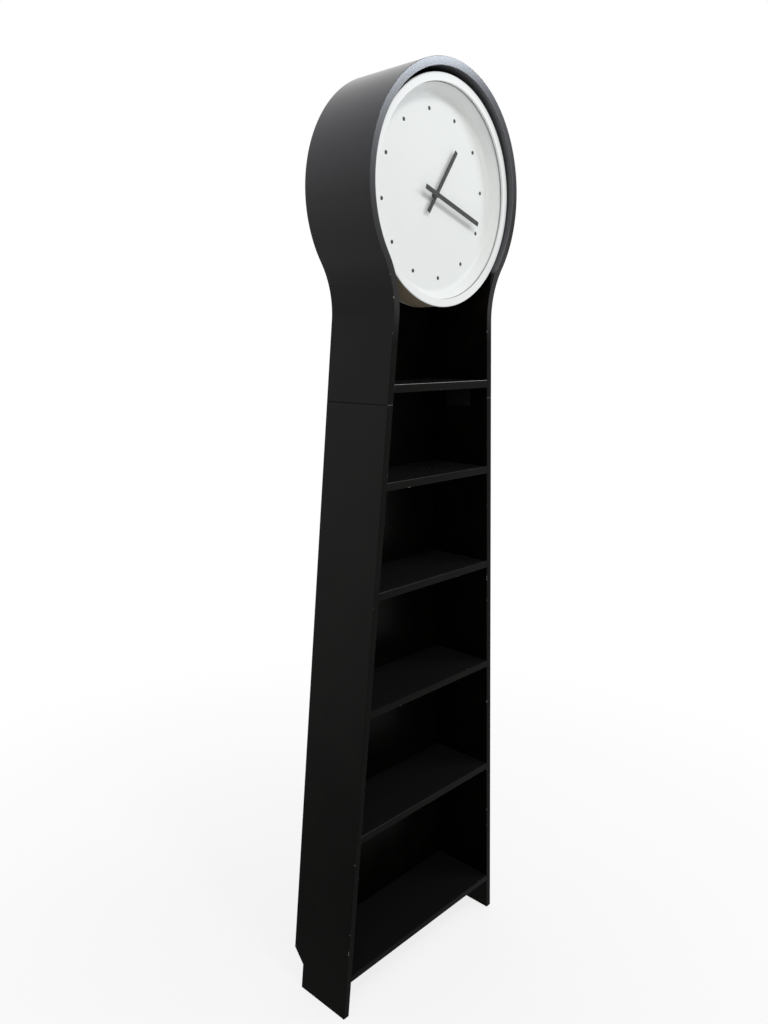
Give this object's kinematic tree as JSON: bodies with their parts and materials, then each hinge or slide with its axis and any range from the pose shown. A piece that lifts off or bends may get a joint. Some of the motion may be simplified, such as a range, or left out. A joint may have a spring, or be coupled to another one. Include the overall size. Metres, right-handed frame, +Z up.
{
  "type": "bookcase floor clock",
  "caption": "Tall black bookcase floor clock with tapering sides, open shelves and a round white quartz wall clock set in a ring-shaped head.",
  "frame": {"origin": "centre of the footprint on the floor: mid-width, mid-depth, underside of the feet", "axes": "+X to the right seen from the front, +Y from the front to the back, +Z up"},
  "size_m": [0.568, 0.168, 2],
  "materials": {
    "case_paint": "satin black paint on board",
    "rail_wood": "matt black stain",
    "felt": "felt",
    "beech": "raw beech",
    "zinc_steel": "zinc plated",
    "cam_zinc": "die-cast zinc",
    "drum_plastic": "gloss white",
    "cover_plastic": "matt white",
    "lens_glass": "clear flat glass",
    "dial_paint": "matt white paint on aluminium",
    "marker_plastic": "gloss black",
    "hand_paint": "satin dark grey on aluminium",
    "movement_plastic": "moulded black",
    "rubber": "matt",
    "brass": "turned",
    "gear_plastic": "natural moulded",
    "core_steel": "silicon steel",
    "magnet": "ferrite magnet with moulded pinion",
    "copper": "enamelled copper wire",
    "board_green": "solder mask",
    "crystal_can": "plain can",
    "cell_jacket": "plain jacket"
  },
  "bodies": {
    "case": {"left_side_panel": "case_paint", "right_side_panel": "case_paint", "head_shell": "case_paint", "shelf_1": "case_paint", "shelf_2": "case_paint", "shelf_3": "case_paint", "shelf_4": "case_paint", "shelf_5": "case_paint", "shelf_6": "case_paint", "lower_back_panel": "case_paint", "head_back_panel": "case_paint", "upper_clock_rail": "rail_wood", "lower_clock_rail": "rail_wood", "clock_pads": "felt", "shelf_dowels": "beech", "cam_bolts": "zinc_steel", "cam_locks": "cam_zinc", "seam_dowels": "beech", "seam_plates": "zinc_steel", "seam_screws": "zinc_steel", "lower_back_screws": "zinc_steel", "head_back_screws": "zinc_steel", "rail_dowels": "beech", "wall_hanger": "zinc_steel", "hanger_screws": "zinc_steel"},
    "clock_unit": {"clock_housing": "drum_plastic", "clock_lens": "lens_glass", "dial": "dial_paint", "hour_markers": "marker_plastic", "clock_back_cover": "cover_plastic", "cover_screws": "zinc_steel", "dial_screws": "zinc_steel", "movement_case": "movement_plastic", "movement_cover": "movement_plastic", "movement_gasket": "rubber", "fixing_washer": "brass", "fixing_nut": "brass", "train_bridge": "gear_plastic", "stator": "core_steel", "coil": "copper", "circuit_board": "board_green", "quartz_crystal": "crystal_can", "battery_contacts": "zinc_steel"},
    "battery": {"battery": "cell_jacket"},
    "rotor": {"rotor": "magnet"},
    "fifth_wheel": {"fifth_wheel": "gear_plastic"},
    "second_wheel": {"second_wheel": "gear_plastic"},
    "third_wheel": {"third_wheel": "gear_plastic"},
    "centre_wheel": {"centre_wheel": "gear_plastic"},
    "minute": {"minute_hand": "hand_paint", "minute_arbor": "brass"},
    "motion_wheel": {"motion_wheel": "gear_plastic"},
    "hour": {"hour_hand": "hand_paint", "hour_wheel": "gear_plastic"},
    "setting_knob": {"setting_knob": "movement_plastic"}
  },
  "joints": [
    {"name": "clock_push_fit", "type": "slide", "parent": "case", "child": "clock_unit", "axis": [0, -1, 0], "range_m": [0, 0.1]},
    {"name": "battery_removal", "type": "slide", "parent": "clock_unit", "child": "battery", "axis": [0, 1, 0], "range_m": [0, 0.03]},
    {"name": "minute_turn", "type": "hinge", "parent": "clock_unit", "child": "minute", "pos_m": [0, -0.04, 1.76], "axis": [0, 1, 0], "continuous": true},
    {"name": "hour_turn", "type": "hinge", "parent": "clock_unit", "child": "hour", "pos_m": [0, -0.04, 1.76], "axis": [0, 1, 0], "continuous": true},
    {"name": "motion_wheel_turn", "type": "hinge", "parent": "clock_unit", "child": "motion_wheel", "pos_m": [-0.00527, -0.04, 1.75509], "axis": [0, 1, 0], "continuous": true},
    {"name": "setting_knob_turn", "type": "hinge", "parent": "clock_unit", "child": "setting_knob", "pos_m": [-0.01211, -0.04, 1.75286], "axis": [0, 1, 0], "continuous": true},
    {"name": "rotor_turn", "type": "hinge", "parent": "clock_unit", "child": "rotor", "pos_m": [0.0061, -0.04, 1.76907], "axis": [0, 1, 0], "continuous": true},
    {"name": "fifth_wheel_turn", "type": "hinge", "parent": "clock_unit", "child": "fifth_wheel", "pos_m": [0.00552, -0.04, 1.76431], "axis": [0, 1, 0], "continuous": true},
    {"name": "second_wheel_turn", "type": "hinge", "parent": "clock_unit", "child": "second_wheel", "pos_m": [0, -0.04, 1.76], "axis": [0, 1, 0], "continuous": true},
    {"name": "third_wheel_turn", "type": "hinge", "parent": "clock_unit", "child": "third_wheel", "pos_m": [-0.0088, -0.04, 1.76187], "axis": [0, 1, 0], "continuous": true},
    {"name": "centre_wheel_turn", "type": "hinge", "parent": "clock_unit", "child": "centre_wheel", "pos_m": [0, -0.04, 1.76], "axis": [0, 1, 0], "continuous": true}
  ],
  "couplings": [
    {"joint": "hour_turn", "follows": "minute_turn", "ratio": 0.083333},
    {"joint": "motion_wheel_turn", "follows": "minute_turn", "ratio": -0.33333},
    {"joint": "setting_knob_turn", "follows": "minute_turn", "ratio": 1},
    {"joint": "fifth_wheel_turn", "follows": "rotor_turn", "ratio": -0.2},
    {"joint": "second_wheel_turn", "follows": "rotor_turn", "ratio": 0.033333},
    {"joint": "third_wheel_turn", "follows": "rotor_turn", "ratio": -0.0044444},
    {"joint": "centre_wheel_turn", "follows": "rotor_turn", "ratio": 0.00055556}
  ]
}
